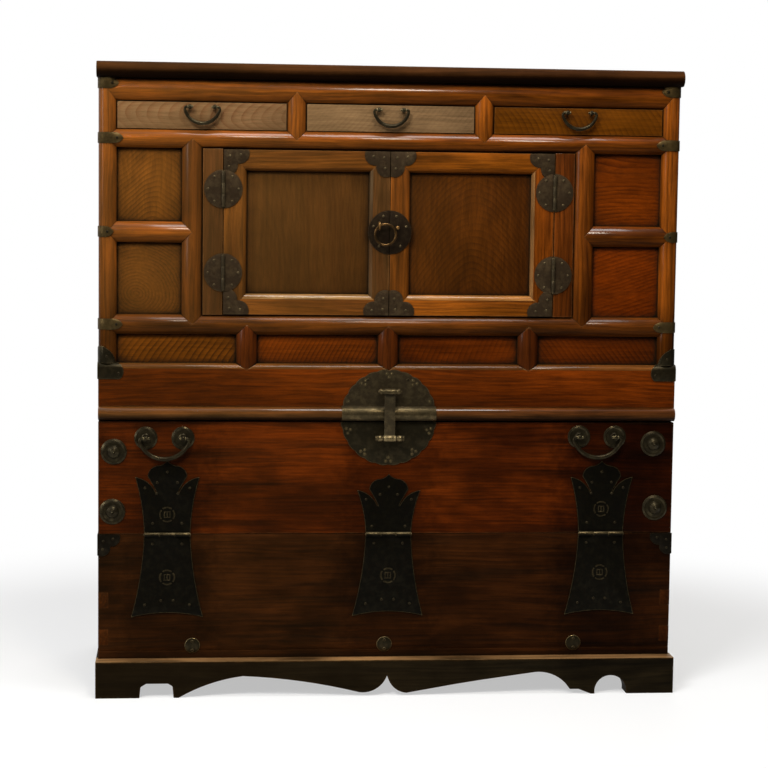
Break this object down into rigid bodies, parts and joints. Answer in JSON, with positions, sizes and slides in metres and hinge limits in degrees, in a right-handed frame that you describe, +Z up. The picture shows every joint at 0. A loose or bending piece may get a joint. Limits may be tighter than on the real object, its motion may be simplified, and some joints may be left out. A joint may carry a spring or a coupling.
{
  "type": "korean two tier chest",
  "caption": "Two tier wooden chest: framed cupboard with doors and drawers over a drop-front chest, on a low cusped base, with black iron fittings.",
  "frame": {"origin": "on the floor under the middle of the whole, between front and back and left and right", "axes": "+X to the right seen from the front, +Y to the back, +Z up; doors and flap face -Y"},
  "size_m": [1.051, 0.48, 1.1316],
  "materials": {
    "upper_frame": "oiled, glossy on the crowns",
    "skirt_wood": "oiled",
    "upper_panel": "oiled, figured grain",
    "inner_wood": "raw",
    "drawer_wood": "oiled",
    "door_wood": "oiled",
    "door_panel_wood": "oiled",
    "lower_wood": "oiled, dark",
    "base_wood": "oiled, nearly black",
    "black_iron": "worn, waxed",
    "ring_metal": "tarnished"
  },
  "bodies": {
    "case": {"corner_posts": "upper_frame", "front_rails": "upper_frame", "muntins": "upper_frame", "cell_stiles": "upper_frame", "cell_rails": "upper_frame", "door_posts": "upper_frame", "side_rails": "upper_frame", "top_board": "upper_frame", "skirt_front": "skirt_wood", "skirt_sides": "skirt_wood", "middle_board": "skirt_wood", "cell_panels": "upper_panel", "low_panels": "upper_panel", "side_panels": "upper_panel", "base_front": "base_wood", "base_sides_and_back": "base_wood", "upper_back_boards": "inner_wood", "cupboard_floor": "inner_wood", "dust_board": "inner_wood", "drawer_guides": "inner_wood", "lower_back_board": "inner_wood", "lower_sides": "lower_wood", "lower_front_board": "lower_wood", "bottom_board": "lower_wood", "base_discs": "black_iron", "rail_irons": "black_iron", "board_corner_irons": "black_iron", "hinge_pins": "black_iron", "door_post_hinge_leaves": "black_iron", "strap_lower_leaves": "black_iron", "lock_plate_upper": "black_iron"},
    "drawer_1": {"drawer_1_front": "drawer_wood", "drawer_1_box": "inner_wood", "drawer_1_pull_posts": "black_iron"},
    "drawer_1_pull": {"drawer_1_bail": "black_iron"},
    "drawer_2": {"drawer_2_front": "drawer_wood", "drawer_2_box": "inner_wood", "drawer_2_pull_posts": "black_iron"},
    "drawer_2_pull": {"drawer_2_bail": "black_iron"},
    "drawer_3": {"drawer_3_front": "drawer_wood", "drawer_3_box": "inner_wood", "drawer_3_pull_posts": "black_iron"},
    "drawer_3_pull": {"drawer_3_bail": "black_iron"},
    "door_left": {"door_left_frame": "door_wood", "door_left_panel": "door_panel_wood", "door_left_irons": "black_iron", "door_left_hinge_leaves": "black_iron"},
    "door_right": {"door_right_frame": "door_wood", "door_right_panel": "door_panel_wood", "door_right_irons": "black_iron", "door_right_hinge_leaves": "black_iron"},
    "door_ring": {"door_ring": "ring_metal"},
    "flap": {"flap_board": "lower_wood", "strap_upper_leaves": "black_iron", "flap_bosses": "black_iron", "flap_handle_posts": "black_iron", "lock_plate_lower": "black_iron"},
    "flap_pull_left": {"flap_bail_left": "black_iron"},
    "flap_pull_right": {"flap_bail_right": "black_iron"},
    "hasp": {"hasp": "black_iron"}
  },
  "joints": [
    {"name": "drawer_1_slide", "type": "slide", "parent": "case", "child": "drawer_1", "axis": [0, -1, 0], "range_m": [0, 0.25]},
    {"name": "drawer_1_pull_swing", "type": "hinge", "parent": "drawer_1", "child": "drawer_1_pull", "pos_m": [-0.33925, -0.213, 1.0541], "axis": [-1, 0, 0], "range_deg": [0, 90]},
    {"name": "drawer_2_slide", "type": "slide", "parent": "case", "child": "drawer_2", "axis": [0, -1, 0], "range_m": [0, 0.25]},
    {"name": "drawer_2_pull_swing", "type": "hinge", "parent": "drawer_2", "child": "drawer_2_pull", "pos_m": [-0.004, -0.213, 1.0541], "axis": [-1, 0, 0], "range_deg": [0, 90]},
    {"name": "drawer_3_slide", "type": "slide", "parent": "case", "child": "drawer_3", "axis": [0, -1, 0], "range_m": [0, 0.25]},
    {"name": "drawer_3_pull_swing", "type": "hinge", "parent": "drawer_3", "child": "drawer_3_pull", "pos_m": [0.33525, -0.213, 1.0541], "axis": [-1, 0, 0], "range_deg": [0, 90]},
    {"name": "door_left_swing", "type": "hinge", "parent": "case", "child": "door_left", "pos_m": [-0.3014, -0.2095, 0.83635], "axis": [0, 0, -1], "range_deg": [0, 160]},
    {"name": "door_right_swing", "type": "hinge", "parent": "case", "child": "door_right", "pos_m": [0.2934, -0.2095, 0.83635], "axis": [0, 0, 1], "range_deg": [0, 160]},
    {"name": "door_ring_swing", "type": "hinge", "parent": "door_left", "child": "door_ring", "pos_m": [-0.02361, -0.2185, 0.84809], "axis": [-1, 0, 0], "range_deg": [0, 85]},
    {"name": "flap_swing", "type": "hinge", "parent": "case", "child": "flap", "pos_m": [0, -0.2143, 0.292], "axis": [1, 0, 0], "range_deg": [0, 90]},
    {"name": "flap_pull_left_swing", "type": "hinge", "parent": "flap", "child": "flap_pull_left", "pos_m": [-0.404, -0.22, 0.466], "axis": [-1, 0, 0], "range_deg": [0, 95]},
    {"name": "flap_pull_right_swing", "type": "hinge", "parent": "flap", "child": "flap_pull_right", "pos_m": [0.3795, -0.22, 0.4695], "axis": [-1, 0, 0], "range_deg": [0, 95]},
    {"name": "hasp_swing", "type": "hinge", "parent": "case", "child": "hasp", "pos_m": [-0.002, -0.23, 0.5525], "axis": [-1, 0, 0], "range_deg": [0, 180]}
  ],
  "couplings": [
    {"joint": "hasp_swing", "follows": "flap_swing", "ratio": 2}
  ]
}
